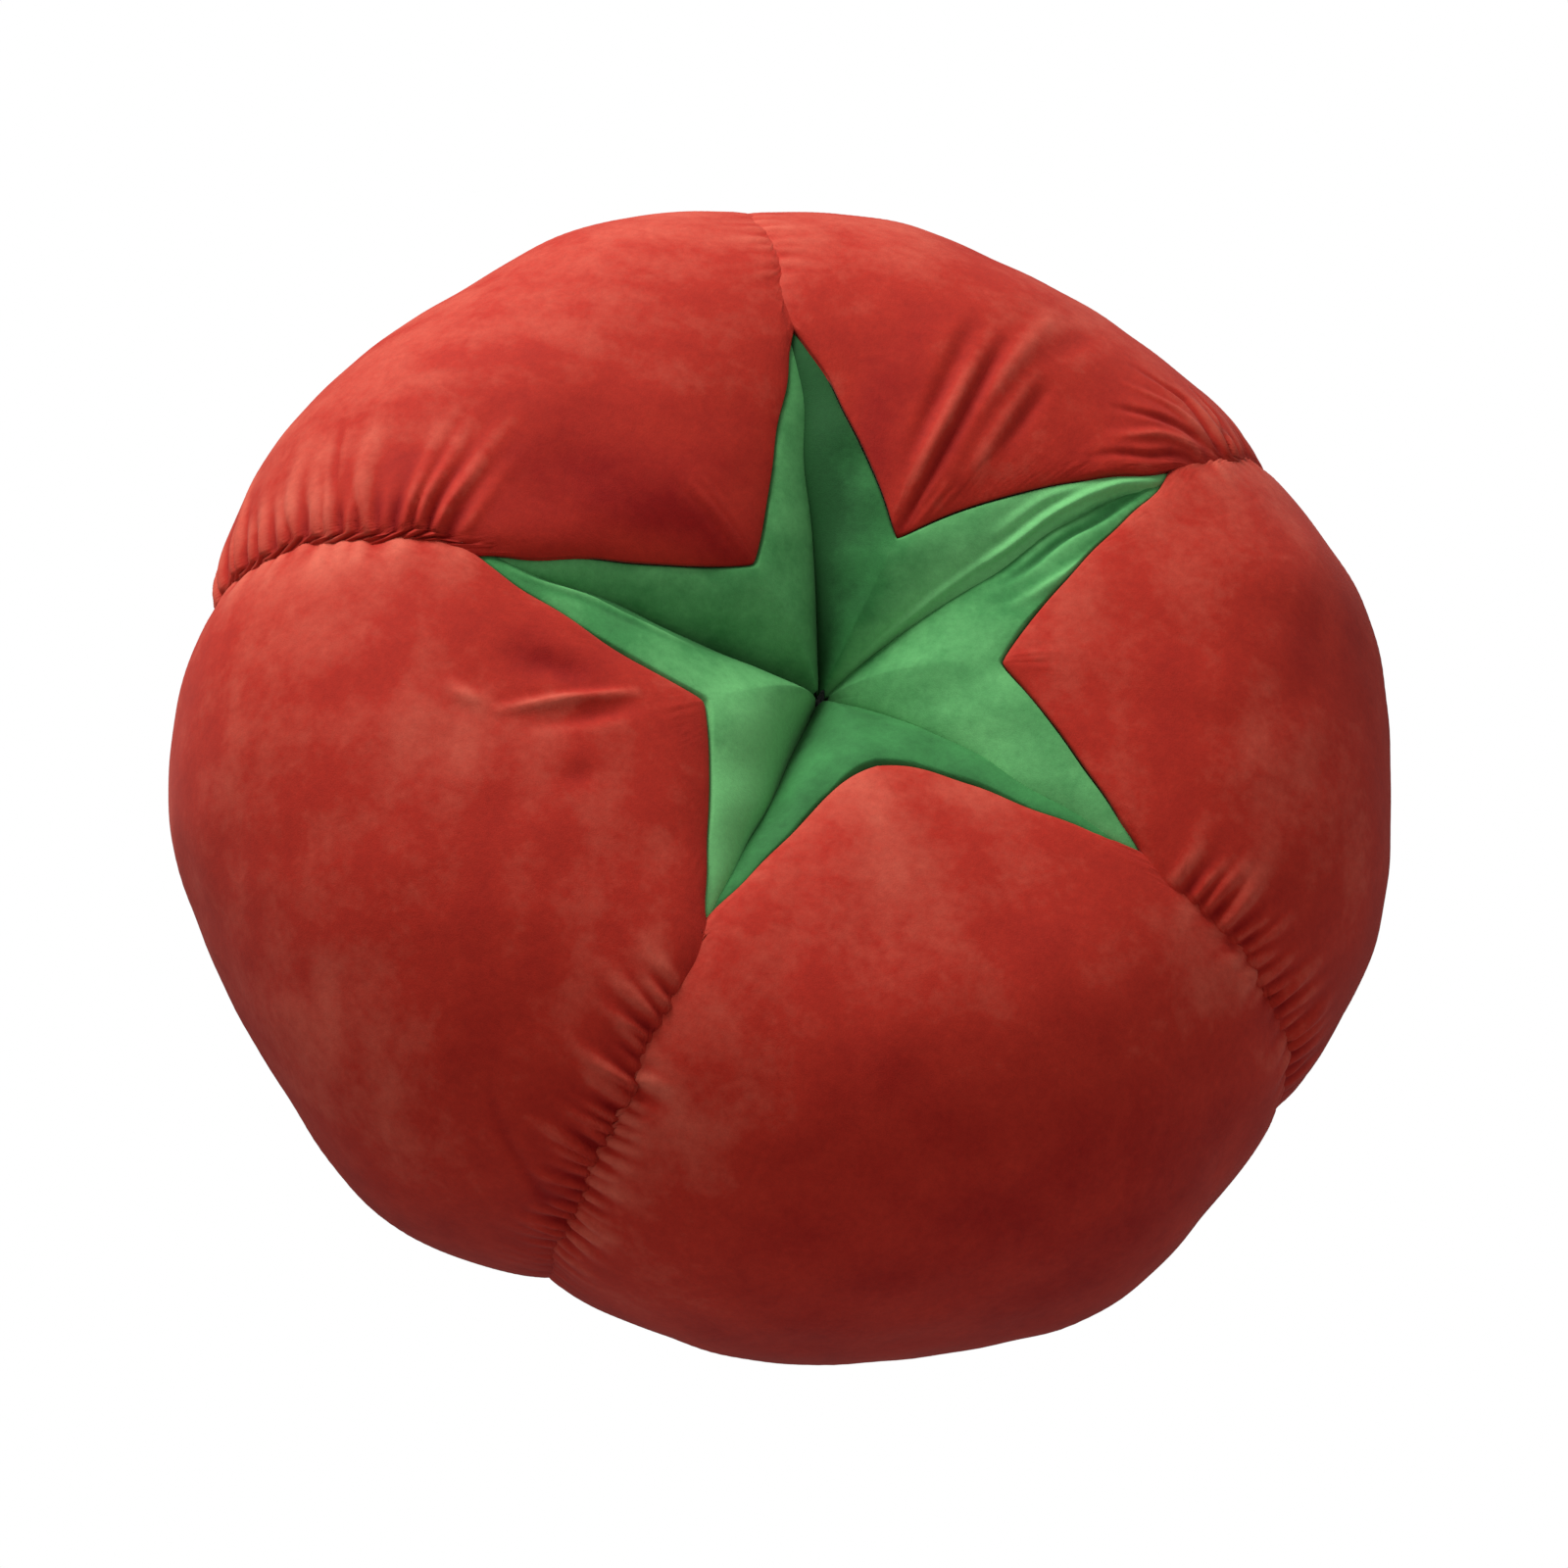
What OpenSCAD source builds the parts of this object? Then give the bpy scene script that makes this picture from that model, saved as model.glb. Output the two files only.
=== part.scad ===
// Tomato floor cushion.
// Five stuffed velvet lobes stand under a pieced green star. The gore panels meet in
// gathered seams. A twine through the filling ties the crown down to a covered button.
// The origin is the middle of the base panel's underside, with +Z up and the front at -Y.

/* [Body] */
// Diameter of the circle that the lobes would fill if nothing pulled them in
body_d = 410; // [360:10:560]
// Height of the top of the lobes
body_h = 178; // [150:2:240]
// Height of the widest ring
waist_h = 92; // [60:2:100]
// Radius of the ridge that runs round the top of the lobes
ridge_r = 114; // [90:2:130]
// How far each seam is pulled in at the waist, as a share of the radius
seam_pinch = 0.06; // [0.02:0.005:0.1]
// How much the middle of each lobe is flatter than a circle, as a share of the radius
crest_flat = 0.035; // [0:0.005:0.06]
// How far each seam lies below the ridge of the lobes
seam_sink = 7; // [4:1:20]
// Depth of the narrow groove that the elastic pulls at each seam
groove_depth = 4; // [0:0.5:6]

/* [Crown] */
// Depth of the dimple in the crown
dimple_depth = 58; // [25:1:65]
// Radius of the small opening where the leaves meet
crown_r = 4; // [4:0.5:8]
// Distance of the star's inner corners from the middle, as a share of the ridge radius
notch_share = 0.42; // [0.3:0.02:0.55]
// Distance of the star's tips from the middle, as a share of the ridge radius
tip_share = 1.05; // [0.85:0.01:1.12]

/* [Cloth] */
// Thickness of the velvet with its backing
panel_t = 2; // [1.5:0.5:3]
// Depth of the seam allowance turned inside between the gores
allowance = 10; // [9:0.5:12]
// Width of the elastic that gathers each seam
elastic_w = 5; // [4:0.5:5]
// Thickness of that elastic
elastic_t = 1; // [0.8:0.1:1.2]

/* [Base] */
// Diameter of the round base panel
base_d = 210; // [160:10:240]
// How far the button pulls the middle of the base panel up
tuft_h = 14; // [12:1:18]
// Diameter of the covered button
button_d = 28; // [22:1:32]
// Diameter of the tufting twine
twine_d = 3; // [2:0.5:4]
// Number of ladder stitches that close the stuffing opening
stitch_count = 14; // [8:1:24]

/* [Hidden] */
SECTORS = 5;
$fn = 64;

// Azimuth of each seam. Hand stuffing leaves the lobes a little uneven.
seam_az = [-92, -14.5, 55, 119, 191];
// How much fuller each lobe is at the waist, as a share of the radius
lobe_trim = [0.02, 0, -0.025, -0.01, 0.03];
// How much longer or shorter each star point and each inner corner is than the nominal one
tip_trim = [0.94, 0.98, 1.14, 0.98, 1];
notch_trim = [0.91, 1.09, 0.96, 0.81, 1.04];

body_r = body_d / 2;
base_r = base_d / 2;
pit_h = body_h - dimple_depth;
// Superellipse exponents: some seams run straight up out of the dimple, and others bulge like the lobes
seam_n = [1.15, 1.9, 1.9, 1.5, 1.15];
crest_n = 2.25;
shoulder_n = 2.05;
under_n = 2.25;
// Exponent of the curve across a lobe: the lower it is, the wider the valley at a seam
lobe_n = 1.5;
// The middle of the stuffed ring, towards which every panel is offset
core_r = 100;
core_h = 78;
// Clear widths: between panels at a seam, at the star's edge, and over the filling
seam_gap = 0.3;
edge_gap = 0.2;
fill_gap = 1;
tape_gap = 0.4;
// Width over which a panel deepens into its allowance
fold_w = 1;
// Distance from the seam over which the groove fades
groove_w = 8;
// Room over the elastic for the gathers
gather_h = 2.5;
taper_r = 20;

gore_rows = 18;
leaf_rows = 6;
lobe_cols = 12;
fill_rows = 22;
tape_rows = 18;

// Distances from the seam of a panel's first columns. The first two carry the allowance.
edge_w = [seam_gap / 2, panel_t, panel_t + fold_w];
panel_cols = 2 * len(edge_w) + lobe_cols - 1;
red = [0.62, 0.13, 0.1];
green = [0.22, 0.45, 0.24];

function lerp(a, b, k) = a + (b - a) * k;
function curve(n, deg) = pow(sin(deg), 2 / n);
function sector_deg(i) = (i < SECTORS - 1 ? seam_az[i + 1] : seam_az[0] + 360) - seam_az[i];
// 0 on a seam, 1 on the middle of a lobe
function share(f) = 1 - abs(2 * f - 1);
function fullness(f) = pow(1 - pow(1 - share(f), lobe_n), 1 / lobe_n);
function waist_r(i, f) =
    body_r * (1 - seam_pinch * (1 - fullness(f)) - crest_flat * pow(sin(90 * share(f)), 4)
              + lobe_trim[i] * fullness(f));
function ridge_h(f) = body_h - seam_sink * (1 - fullness(f));
function crown_n(i, f) =
    lerp(lerp(seam_n[i % SECTORS], seam_n[(i + 1) % SECTORS], f), crest_n, fullness(f));

// The cover's profile as [r, z]: t runs 0 to 1 from the pit to the ridge, to 2 at the waist
// and to 3 at the rim of the base panel. f runs 0 to 1 from one seam to the next.
function profile(i, f, t) =
    t <= 1 ? [ridge_r * (1 - curve(crown_n(i, f), 90 * (1 - t))),
              lerp(pit_h, ridge_h(f), curve(crown_n(i, f), 90 * t))]
    : t <= 2 ? [lerp(ridge_r, waist_r(i, f), curve(shoulder_n, 90 * (t - 1))),
                lerp(waist_h, ridge_h(f), curve(shoulder_n, 90 * (2 - t)))]
    : [lerp(base_r, waist_r(i, f), curve(under_n, 90 * (3 - t))),
       waist_h * (1 - curve(under_n, 90 * (t - 2)))];
// The t at which the profile has a given radius, above the waist
function t_at(i, f, r) =
    r < ridge_r ? 1 - asin(pow(1 - r / ridge_r, crown_n(i, f) / 2)) / 90
    : 1 + asin(pow((r - ridge_r) / (waist_r(i, f) - ridge_r), shoulder_n / 2)) / 90;

// The groove along a seam, which ends at the crown and at the rim of the base panel
function groove(i, f, t) =
    let (w = profile(i, f, t)[0] * sin(share(f) * sector_deg(i) / 2))
    groove_depth * exp(-w / groove_w) * min(1, t, 2 * (3 - t));

// A profile point moved into the body by a depth
function sunk(p, depth) =
    let (d = [core_r - p[0], core_h - p[1]]) p + d * depth / norm(d);
function place(i, f, p) =
    let (a = seam_az[i] + f * sector_deg(i)) [p[0] * cos(a), p[0] * sin(a), p[1]];
function skin_point(i, f, t, depth) =
    place(i, f, sunk(profile(i, f, t), depth + groove(i, f, t)));

// The star's edge over gore i: a straight line in plan from a tip on the seam to the inner corner
function tip_r(i) = ridge_r * tip_share * tip_trim[i % SECTORS];
function notch_r(i) = ridge_r * notch_share * notch_trim[i];
function star_r(i, f) =
    let (half = sector_deg(i) / 2, a = half * share(f), rn = notch_r(i),
         rt = f < 0.5 ? tip_r(i) : tip_r(i + 1))
    rt * rn * sin(half) / (rt * sin(a) + rn * sin(half - a));

// Columns stand at the distances in ws from each seam, and the other n - 1 spread over the lobe.
// The distances shrink towards the crown, where the seams meet.
function taper(r) = min(1, r / taper_r);
function seam_share(i, w, t) =
    let (r = min(profile(i, 0, t)[0], profile(i, 1, t)[0])) asin(w * taper(r) / r) / sector_deg(i);
function col_share(i, c, t, n = lobe_cols, ws = edge_w) =
    let (m = len(ws), last = 2 * m + n - 2)
    c < m ? seam_share(i, ws[c], t)
    : c > last - m ? 1 - seam_share(i, ws[last - c], t)
    : let (e = seam_share(i, ws[m - 1], t), k = (c - m + 1) / n)
      lerp(e, 1 - e, (1 - cos(180 * k)) / 2);
function at_seam(c, cols, m) = c < m || c >= cols - m;
function allowance_at(t) = min(allowance, panel_t + 0.3 * profile(0, 0, t)[0]);
function panel_depth(c, t) = at_seam(c, panel_cols, 2) ? allowance_at(t) : panel_t;

function flat(rows) = [for (row = rows) for (p = row) p];

// A closed sheet between an outer and an inner grid of points with the same rows and columns
module sheet(outer, inner) {
    rows = len(outer);
    cols = len(outer[0]);
    below = rows * cols;
    function at(r, c) = r * cols + c;
    faces = concat(
        [for (r = [0:rows - 2]) for (c = [0:cols - 2]) for (f = [
            [at(r, c), at(r, c + 1), at(r + 1, c + 1)],
            [at(r, c), at(r + 1, c + 1), at(r + 1, c)],
            [below + at(r, c), below + at(r + 1, c + 1), below + at(r, c + 1)],
            [below + at(r, c), below + at(r + 1, c), below + at(r + 1, c + 1)]]) f],
        [for (r = [0:rows - 2]) for (c = [0, cols - 1]) for (f = [
            [at(r, c), at(r + 1, c), below + at(r + 1, c)],
            [at(r, c), below + at(r + 1, c), below + at(r, c)]])
            c == 0 ? f : [f[2], f[1], f[0]]],
        [for (c = [0:cols - 2]) for (r = [0, rows - 1]) for (f = [
            [at(r, c), below + at(r, c), below + at(r, c + 1)],
            [at(r, c), below + at(r, c + 1), at(r, c + 1)]])
            r == 0 ? f : [f[2], f[1], f[0]]]
    );
    polyhedron(concat(flat(outer), flat(inner)), faces);
}

// A closed ring of points: rows run round the section, columns round the axis
module ring(grid) {
    rows = len(grid);
    cols = len(grid[0]);
    function at(r, c) = (r % rows) * cols + c % cols;
    faces = [for (r = [0:rows - 1]) for (c = [0:cols - 1]) for (f = [
        [at(r, c), at(r, c + 1), at(r + 1, c + 1)],
        [at(r, c), at(r + 1, c + 1), at(r + 1, c)]]) f];
    polyhedron(flat(grid), faces);
}

// Where each panel starts and ends, as [t, t]. The star's edge parts a leaf from its gore.
function t_star(i, f, gap) = t_at(i, f, star_r(i, f) + gap);
function leaf_span(i, f) = [t_at(i, f, crown_r), t_star(i, f, -edge_gap)];
function gore_span(i, f) = [t_star(i, f, edge_gap), 3];
function panel_grid(i, rows, is_leaf, is_inside) = [
    for (row = [0:rows])
        [for (c = [0:panel_cols - 1])
            let (edge = col_share(i, c, 1),
                 span = is_leaf ? leaf_span(i, edge) : gore_span(i, edge),
                 t = lerp(span[0], span[1], row / rows))
            skin_point(i, col_share(i, c, t), t, is_inside ? panel_depth(c, t) : 0)]
];

module red_gore(i) {
    color(red)
        sheet(panel_grid(i, gore_rows, false, false), panel_grid(i, gore_rows, false, true));
}

module calyx_leaf(i) {
    color(green)
        sheet(panel_grid(i, leaf_rows, true, false), panel_grid(i, leaf_rows, true, true));
}

// The elastic lies against the allowance, from the star's tip to the base
module gather_elastic(i) {
    from = t_at(i, 0, tip_r(i)) + 0.08;
    side = panel_t + fold_w + tape_gap;
    function tape_row(k, w) =
        let (t = lerp(from, 2.9, k), f = seam_share(i, w, t))
        [for (depth = [panel_t + gather_h, panel_t + gather_h + elastic_w]) skin_point(i, f, t, depth)];
    function tape_grid(w) = [for (r = [0:tape_rows]) tape_row(r / tape_rows, w)];
    color("white")
        sheet(tape_grid(side + elastic_t), tape_grid(side));
}

dish_r = button_d / 2 + 2;
slope_w = 24;

// The base panel is flat round its rim and rises to the button in the middle
module base_panel() {
    hole_r = 5;
    slope_r = dish_r + slope_w;
    rim = base_r - edge_gap * 2;
    bevel = 1;
    color(red)
        rotate_extrude($fn = 128)
            polygon([
                [hole_r, tuft_h], [dish_r, tuft_h], [slope_r, 0], [rim - bevel, 0],
                [rim, bevel], [rim, panel_t], [slope_r + 1, panel_t],
                [dish_r + 1, tuft_h + panel_t], [hole_r, tuft_h + panel_t]
            ]);
}

button_r = button_d / 2;
cap_h = 7;
back_t = 1.6;
shank_w = 7;
shank_t = 2.4;
eye_r = 2;
eye_h = tuft_h + panel_t + 5;
loop_r = 4.2;
strand_r = 0.9;

// A domed cap, hollow behind, that the button back snaps into
module button_cap() {
    wall = 1.2;
    color(red)
        translate([0, 0, tuft_h])
            difference() {
                intersection() {
                    translate([0, 0, -cap_h])
                        cylinder(r = button_r, h = cap_h);
                    translate([0, 0, 12])
                        sphere(r = cap_h + 12);
                }
                translate([0, 0, -back_t])
                    cylinder(r = button_r - wall, h = back_t + 1);
                translate([0, 0, -back_t - 2])
                    cylinder(r = button_r - wall - 3, h = 3);
            }
}

// The back plate with its shank, which stands up through the base panel, and the eye
module button_back() {
    color("silver")
        difference() {
            union() {
                translate([0, 0, tuft_h - back_t])
                    cylinder(r = button_r - 1.3, h = back_t);
                translate([-shank_w / 2, -shank_t / 2, tuft_h - back_t / 2])
                    cube([shank_w, shank_t, eye_h - tuft_h + back_t / 2]);
                translate([0, shank_t / 2, eye_h])
                    rotate([90, 0, 0])
                        cylinder(r = shank_w / 2, h = shank_t);
            }
            translate([0, shank_t, eye_h])
                rotate([90, 0, 0])
                    cylinder(r = eye_r, h = 2 * shank_t);
        }
}

// The twine: a loop through the button's eye, and the cord that runs up to the crown
module tuft_twine() {
    loop_h = eye_h + loop_r;
    knot_r = twine_d * 0.9;
    color("beige") {
        translate([0, 0, loop_h])
            rotate([0, 90, 0])
                rotate_extrude()
                    translate([loop_r, 0])
                        circle(r = strand_r);
        translate([0, 0, loop_h + loop_r])
            cylinder(r = twine_d / 2, h = crown_knot_h - loop_h - loop_r);
        translate([0, 0, loop_h + loop_r + knot_r / 2])
            sphere(r = knot_r);
    }
}

crown_knot_r = crown_r - 0.6;
crown_knot_h = pit_h - crown_knot_r;

// Turns of thread round the end of the twine, just under the leaves
module crown_knot() {
    turns = 3;
    turn_r = crown_knot_r / turns;
    color(green)
        difference() {
            union() {
                for (k = [0:turns - 1])
                    translate([0, 0, crown_knot_h + (k - 0.5) * turn_r * 1.5])
                        rotate_extrude()
                            translate([crown_knot_r - turn_r, 0])
                                circle(r = turn_r);
                translate([0, 0, crown_knot_h - turn_r])
                    cylinder(r = crown_knot_r - turn_r, h = turns * turn_r * 1.5);
            }
            translate([0, 0, crown_knot_h - 2 * turn_r])
                cylinder(r = twine_d / 2, h = 2 * turn_r);
        }
}

// The filling fills the cover, less a trench at each seam for the allowances and the elastic.
// Its section is a closed ring: over the cover, across the base panel, and up the twine's bore.
trench_w = panel_t + fold_w + tape_gap + elastic_t + 1;
fill_w = [0.01, trench_w, trench_w + 1.5];
fill_lobe_cols = 6;
fill_cols = 2 * len(fill_w) + fill_lobe_cols - 1;
fill_from = 0.14;
fill_to = 2.97;
module fibre_filling() {
    bore_r = twine_d / 2 + 1.5;
    well_r = loop_r + strand_r + 3;
    well_h = eye_h + 2 * loop_r + 5;
    floor_h = panel_t + fill_gap;
    function fill_depth(c, t) =
        at_seam(c, fill_cols, 2) ? allowance_at(t) + 1.5 : panel_t + fill_gap;
    function fill_share(i, c, t) = col_share(i, c, t, fill_lobe_cols, fill_w);
    function cover_row(t) =
        [for (i = [0:SECTORS - 1]) for (c = [0:fill_cols - 2])
            skin_point(i, fill_share(i, c, t), t, fill_depth(c, t))];
    function round_row(r, z) =
        [for (i = [0:SECTORS - 1]) for (c = [0:fill_cols - 2])
            place(i, fill_share(i, c, 1), [r, z])];
    color("white")
        ring(concat(
            [for (k = [0:fill_rows]) cover_row(lerp(fill_from, fill_to, k / fill_rows))],
            [round_row(dish_r + slope_w + 1, floor_h), round_row(dish_r + 1, tuft_h + floor_h),
             round_row(well_r, tuft_h + floor_h), round_row(well_r, well_h),
             round_row(bore_r, well_h + 3), round_row(bore_r, pit_h - 16)]
        ));
}

// Ladder stitches in the bevel between the base panel's rim and one gore
module closing_stitches() {
    pitch = 4;
    stitch_deg = 2;
    thread_r = 0.25;
    color("firebrick")
        for (k = [0:stitch_count - 1])
            rotate(seam_az[1] + 6 + k * pitch)
                rotate_extrude(angle = stitch_deg)
                    translate([base_r - 0.65, thread_r + 0.1])
                        circle(r = thread_r, $fn = 16);
}

for (i = [0:SECTORS - 1]) {
    red_gore(i);
    calyx_leaf(i);
    gather_elastic(i);
}
base_panel();
fibre_filling();
tuft_twine();
crown_knot();
button_cap();
button_back();
closing_stitches();
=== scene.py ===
"""Looks of the stuffed velvet tomato cushion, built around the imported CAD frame.

Lengths in this file are in millimetres and angles in degrees, up to the point where a mesh is made.
"""

import math

import bpy
import numpy as np
from mathutils import Matrix, Vector

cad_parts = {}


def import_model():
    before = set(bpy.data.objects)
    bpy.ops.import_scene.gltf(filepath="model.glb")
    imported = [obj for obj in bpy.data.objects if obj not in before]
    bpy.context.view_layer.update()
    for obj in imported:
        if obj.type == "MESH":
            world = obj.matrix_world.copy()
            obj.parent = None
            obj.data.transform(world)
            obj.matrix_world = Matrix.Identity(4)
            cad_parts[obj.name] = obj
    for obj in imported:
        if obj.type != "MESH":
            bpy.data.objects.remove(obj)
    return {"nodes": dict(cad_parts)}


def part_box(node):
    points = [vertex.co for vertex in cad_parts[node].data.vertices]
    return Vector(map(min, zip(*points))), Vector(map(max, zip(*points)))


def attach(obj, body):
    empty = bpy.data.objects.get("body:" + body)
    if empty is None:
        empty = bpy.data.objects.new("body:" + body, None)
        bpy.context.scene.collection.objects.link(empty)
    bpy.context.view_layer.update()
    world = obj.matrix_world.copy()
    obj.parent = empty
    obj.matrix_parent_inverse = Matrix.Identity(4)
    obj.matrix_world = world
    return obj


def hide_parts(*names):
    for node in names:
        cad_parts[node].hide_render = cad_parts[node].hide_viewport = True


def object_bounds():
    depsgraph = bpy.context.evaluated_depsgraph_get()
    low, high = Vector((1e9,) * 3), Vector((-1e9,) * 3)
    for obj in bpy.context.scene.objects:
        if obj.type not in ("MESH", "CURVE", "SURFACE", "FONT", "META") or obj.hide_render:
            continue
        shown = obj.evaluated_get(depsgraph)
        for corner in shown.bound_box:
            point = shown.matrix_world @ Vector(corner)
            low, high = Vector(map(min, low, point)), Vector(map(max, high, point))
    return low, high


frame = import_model()
cad_low, cad_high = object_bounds()
MM = 0.001

# ---- The cushion's shape, with the CAD model's names and round numbers ----
SECTORS = 5
SEAM_AZ = (-92, -14.5, 55, 119, 191)
LOBE_TRIM = (0.02, 0, -0.025, -0.01, 0.03)
TIP_TRIM = (0.94, 0.98, 1.14, 0.98, 1)
NOTCH_TRIM = (0.91, 1.09, 0.96, 0.81, 1.04)
BODY_R = 205
RIDGE_R = 114
TIP_R = 1.05 * RIDGE_R
NOTCH_R = 0.42 * RIDGE_R
WAIST_H = 92
DIMPLE_DEPTH = 58
SEAM_PINCH = 0.06
CREST_FLAT = 0.035
SEAM_SINK = 7
GROOVE_DEPTH = 4
GROOVE_W = 8
SEAM_N = (1.15, 1.9, 1.9, 1.5, 1.15)
CREST_N, SHOULDER_N, UNDER_N, LOBE_N = 2.25, 2.05, 2.25, 1.5
CORE = (100, 78)
PANEL_T = 2
ALLOWANCE = 10
SEAM_GAP = 0.3
EDGE_GAP = 0.2
TAPER_R = 20
# How far into a panel its seams' wandering reaches, as a part of its width
STRAY_F = 0.12
TUFT_H = 14
DISH_R = 16
SLOPE_W = 24
TWINE_D = 3
BODY_H = cad_high.z / MM
PIT_H = BODY_H - DIMPLE_DEPTH
BASE_RIM_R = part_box("base_panel")[1].x / MM
BASE_R = BASE_RIM_R + 2 * EDGE_GAP

# ---- What the cloth does, seen panel by panel ----
# Gathers beside each seam, on its +azimuth side and then on the other: their height, reach and pitch,
# the distances from the star's tip where they start and fade, and how much they lean down the seam.
GATHERS = {
    0: ((3.8, 10, 5.4, 44, 116, 0.0), (4.6, 12, 5.0, 20, 112, -0.2)),
    1: ((4.0, 14, 5.2, 12, 92, 0.3), (3.0, 8, 8.5, 20, 104, 0.1)),
    2: ((2.6, 16, 6.1, 10, 62, 0.2), (1.3, 9, 6.1, 8, 34, 0.0)),
    3: ((1.1, 9, 5.5, 14, 50, 0.1), (1.4, 10, 5.5, 18, 50, 0.0)),
    4: ((1.9, 9, 9.0, 4, 92, 0.0), (4.2, 24, 6.3, 6, 112, 0.32)),
}
# How much of the groove the cloth bridges, and how far it bridges the valley at each seam
GROOVE_FILL = 0.6
VALLEY_FILL = (0.9, 0.9, 0.7, 2.2, 0)
VALLEY_W = 6
# How much smaller a panel is made than it is after the stuffing has swelled it
CLOTH_SLACK = 1.4
# A gather's ridge: its width as a share of the pitch, and how sharp the valleys between ridges are
RIDGE_SHARE = 0.27
RIDGE_SHARPNESS = 3.2
# How far the valleys of the gathers go down, as a share of the gathers' height
VALLEY_SHARE = 0.45
# Over what distance the gathers fade in and out, and what is left of them after that
FADE_IN, FADE_OUT, FADED = 8, 20, 0.2
# How much the gathers lean up towards the star's tip, and how far down the seam that goes
TIP_LEAN, TIP_LEAN_REACH = 0.5, 18
GATHERS_END_T = 2.95
# How far the cloth rolls over each seam, on its +azimuth side and then on the other
ROLLS = {0: (0.6, 0.8), 1: (0.4, 2.0), 2: (0.6, 1.2), 3: (0.8, 0.8), 4: (1.8, 0.3)}
# A crease's raised shoulders: their height and their width, as shares of the crease's
SHOULDER_SHARE, SHOULDER_REACH = 0.4, 2.4
# Creases: kind, panel, places as (f, t), width, and depth. A negative depth is a ridge.
CREASES = (
    ("gore", 2, ((0.60, 0.76), (0.58, 0.90), (0.56, 1.12)), 3.2, 1.5),
    ("gore", 2, ((0.505, 0.58), (0.495, 0.74), (0.485, 0.90), (0.48, 1.08)), 2.8, 2.5),
    ("gore", 2, ((0.555, 0.68), (0.54, 0.80), (0.53, 0.92), (0.515, 1.08)), 3.0, -1.2),
    ("gore", 2, ((0.35, 0.80), (0.37, 0.90), (0.38, 1.04)), 3.4, -1.5),
    ("gore", 2, ((0.325, 0.86), (0.335, 0.95), (0.345, 1.04)), 3.2, 1.3),
    ("gore", 2, ((0.445, 0.92), (0.435, 1.08), (0.425, 1.30)), 3.6, -1.8),
    ("gore", 2, ((0.37, 1.12), (0.34, 1.34)), 5.0, 1.6),
    ("gore", 2, ((0.13, 0.98), (0.06, 1.11), (0.01, 1.25)), 1.7, 1.9),
    ("gore", 2, ((0.14, 1.06), (0.09, 1.17), (0.03, 1.27)), 2.0, -2.0),
    ("gore", 2, ((0.19, 1.13), (0.11, 1.22), (0.03, 1.31)), 1.7, 1.8),
    ("gore", 2, ((0.22, 1.22), (0.12, 1.29), (0.03, 1.33)), 1.6, -1.2),
    ("gore", 2, ((0.24, 1.31), (0.13, 1.36), (0.03, 1.35)), 1.6, 1.8),
    ("gore", 2, ((0.15, 1.48), (0.08, 1.45), (0.02, 1.39)), 1.6, 1.8),
    ("gore", 3, ((0.79, 1.50), (0.90, 1.44), (0.985, 1.39)), 1.7, 2.4),
    ("gore", 4, ((0.38, 1.01), (0.39, 0.90), (0.41, 0.78)), 1.9, -2.4),
    ("gore", 4, ((0.43, 0.98), (0.45, 0.88), (0.46, 0.80)), 3.2, 1.6),
    ("gore", 4, ((0.26, 0.94), (0.34, 0.84)), 6.0, 1.7),
    ("gore", 4, ((0.31, 1.09), (0.36, 1.04)), 3.0, -1.8),
    ("gore", 4, ((0.56, 0.98), (0.60, 0.92)), 4.5, 1.0),
    ("gore", 4, ((0.84, 1.56), (0.94, 1.74), (0.985, 1.85)), 2.4, 1.5),
    ("leaf", 2, ((0.085, 0.28), (0.078, 0.55), (0.062, 0.80)), 1.4, -1.0),
    ("leaf", 2, ((0.068, 0.68), (0.062, 0.80), (0.058, 0.92), (0.035, 1.02), (0.010, 1.12)), 1.7, -3.0),
    ("leaf", 2, ((0.012, 0.80), (0.015, 0.92), (0.008, 1.06)), 1.8, 2.6),
    ("leaf", 2, ((0.130, 0.74), (0.110, 0.86), (0.050, 1.00)), 2.0, -1.2),
    ("leaf", 1, ((0.80, 0.70), (0.87, 0.86), (0.94, 0.98)), 2.0, -1.8),
    ("leaf", 1, ((0.93, 0.70), (0.965, 0.86), (0.988, 1.02)), 1.7, 2.4),
    ("leaf", 4, ((0.02, 0.90), (0.05, 0.72), (0.14, 0.56)), 1.6, -1.6),
)
# Where a panel swells or flattens: panel, place as (f, t), and height. All have the same size in f and t.
SWELL_SIZE = (0.13, 0.5)
SWELLS = (
    (0, (0.08, 2.25), -2.2),
    (0, (0.68, 2.15), 4.4),
    (0, (0.89, 2.00), -3.5),
    (1, (0.08, 2.00), -2.5),
    (1, (0.74, 1.50), 3.2),
    (1, (0.60, 1.80), 0.8),
    (1, (0.32, 2.05), 1.4),
    (2, (0.32, 1.60), -1.6),
    (3, (0.42, 1.75), -3.8),
    (4, (0.12, 1.90), 0.8),
    (4, (0.50, 2.20), -1.8),
    (4, (0.82, 2.25), 3.5),
)
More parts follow.
